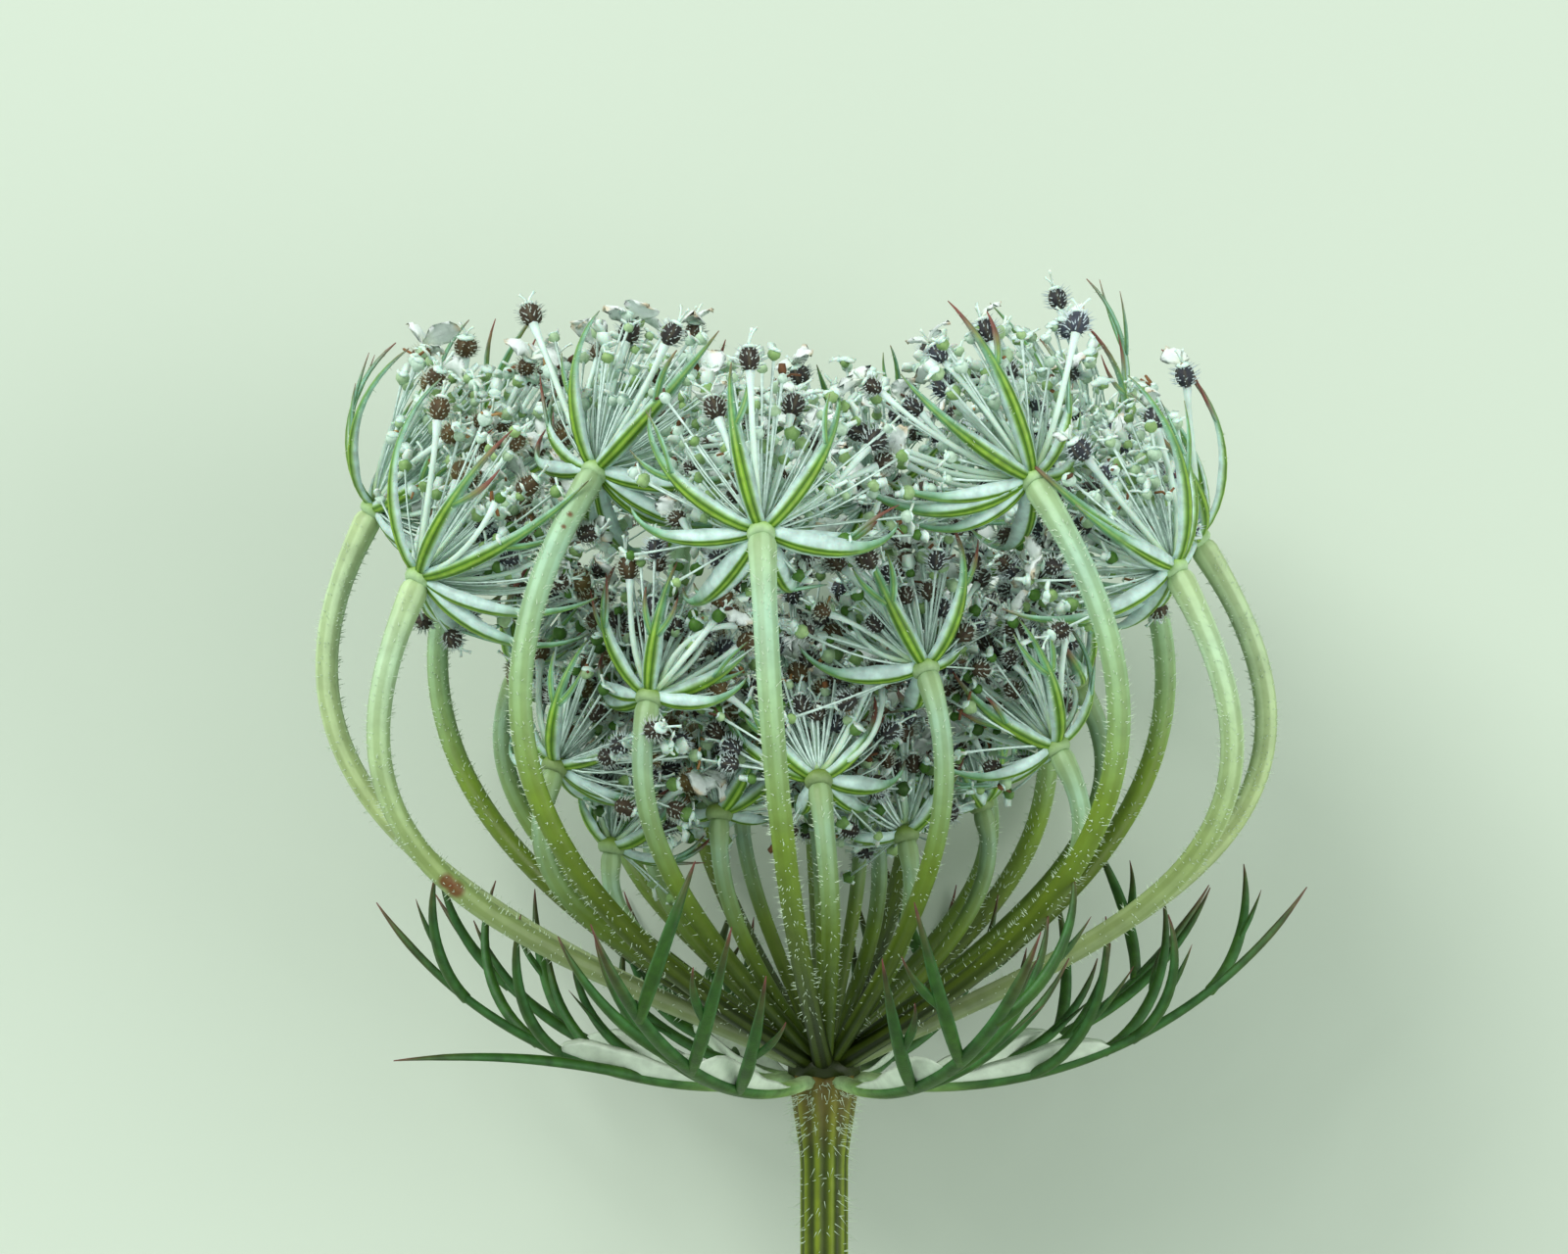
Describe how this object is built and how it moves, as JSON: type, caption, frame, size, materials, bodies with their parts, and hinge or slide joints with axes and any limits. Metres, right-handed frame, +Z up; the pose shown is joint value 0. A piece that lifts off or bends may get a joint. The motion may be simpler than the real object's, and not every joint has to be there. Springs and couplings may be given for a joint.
{
  "type": "carrot flower",
  "caption": "Cut wild carrot flower at the seed-setting stage, closed into a nest of curved rays with stalked fruits inside and cut-leaved bracts below, lying on its side.",
  "frame": {"origin": "on the surface that the flower lies on, under the middle of its box", "axes": "+Z up from the surface, +Y from the cut end of the stem towards the nest, +X to the right seen from the cut end"},
  "size_m": [0.0516, 0.1036, 0.0458],
  "materials": {
    "stem": "fresh ribbed stem, satin",
    "ray": "fresh pale green stalk, satin",
    "bract": "fresh dark green leaf, satin",
    "umbellet": "pale green and white stalks and bracteoles, satin",
    "fruit": "bristly dark fruit, matte",
    "petal": "withered white petal, matte"
  },
  "bodies": {
    "root": {"peduncle": "stem", "rays": "ray", "bract_1": "bract", "bract_2": "bract", "bract_3": "bract", "bract_4": "bract", "bract_5": "bract", "bract_6": "bract", "bract_7": "bract", "bract_8": "bract", "umbellet_01": "umbellet", "umbellet_02": "umbellet", "umbellet_03": "umbellet", "umbellet_04": "umbellet", "umbellet_05": "umbellet", "umbellet_06": "umbellet", "umbellet_07": "umbellet", "umbellet_08": "umbellet", "umbellet_09": "umbellet", "umbellet_10": "umbellet", "umbellet_11": "umbellet", "umbellet_12": "umbellet", "umbellet_13": "umbellet", "umbellet_14": "umbellet", "umbellet_15": "umbellet", "umbellet_16": "umbellet", "umbellet_17": "umbellet", "umbellet_18": "umbellet", "umbellet_19": "umbellet", "umbellet_20": "umbellet", "umbellet_21": "umbellet", "umbellet_22": "umbellet", "umbellet_23": "umbellet", "umbellet_24": "umbellet", "umbellet_25": "umbellet", "umbellet_26": "umbellet", "umbellet_27": "umbellet", "umbellet_28": "umbellet", "umbellet_29": "umbellet", "umbellet_30": "umbellet", "umbellet_31": "umbellet"}
  },
  "joints": []
}
